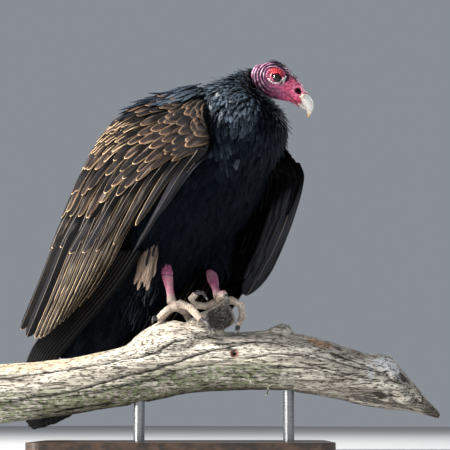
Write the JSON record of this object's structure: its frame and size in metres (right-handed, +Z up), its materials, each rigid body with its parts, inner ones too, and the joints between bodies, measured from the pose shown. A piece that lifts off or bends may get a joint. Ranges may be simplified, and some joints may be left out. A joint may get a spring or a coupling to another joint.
{
  "type": "turkey vulture display model",
  "caption": "Life-size turkey vulture at rest with folded wings and bare red head, gripping a length of dead limb on a flat display stand.",
  "frame": {"origin": "centre of the display stand's underside", "axes": "+X the way the bird's body faces, +Y the bird's left, +Z up; the limb runs 40 degrees to the left of +X"},
  "size_m": [0.5608, 0.4176, 0.5004],
  "materials": {
    "plumage": "soft, overlapping black body feathers with a faint blue sheen",
    "wing_coverts": "overlapping brown-black feathers with golden-tan edges",
    "flight_feathers": "long stiff grey-black vanes with paler edges",
    "head_skin": "bare, wrinkled red skin, warty in front of the eye and purple-grey at the back",
    "bill": "smooth ivory horn",
    "eye": "wet, dark brown",
    "leg": "scaly pink skin, magenta at the ankle",
    "foot": "scaly grey-beige skin",
    "claw": "dark grey horn",
    "dead_wood": "weathered, bare and cracked, with green lichen below",
    "stand_wood": "dark stained and satin varnished",
    "stand_rod": "round bar with a fine turned finish"
  },
  "bodies": {
    "root": {"eye_right": "eye", "eye_left": "eye", "bill_upper": "bill", "bill_lower": "bill", "head": "head_skin", "wing_right_coverts": "wing_coverts", "wing_right_secondaries": "flight_feathers", "wing_right_primaries": "flight_feathers", "wing_left_coverts": "wing_coverts", "wing_left_secondaries": "flight_feathers", "wing_left_primaries": "flight_feathers", "neck": "plumage", "claw_right_1": "claw", "claw_right_2": "claw", "claw_right_3": "claw", "claw_right_4": "claw", "foot_right": "foot", "tarsus_right": "leg", "thigh_right": "plumage", "claw_left_1": "claw", "claw_left_2": "claw", "claw_left_3": "claw", "claw_left_4": "claw", "foot_left": "foot", "tarsus_left": "leg", "thigh_left": "plumage", "tail": "flight_feathers", "trunk": "plumage", "perch": "dead_wood", "stand_rod_1": "stand_rod", "stand_rod_2": "stand_rod", "stand_base": "stand_wood"}
  },
  "joints": []
}
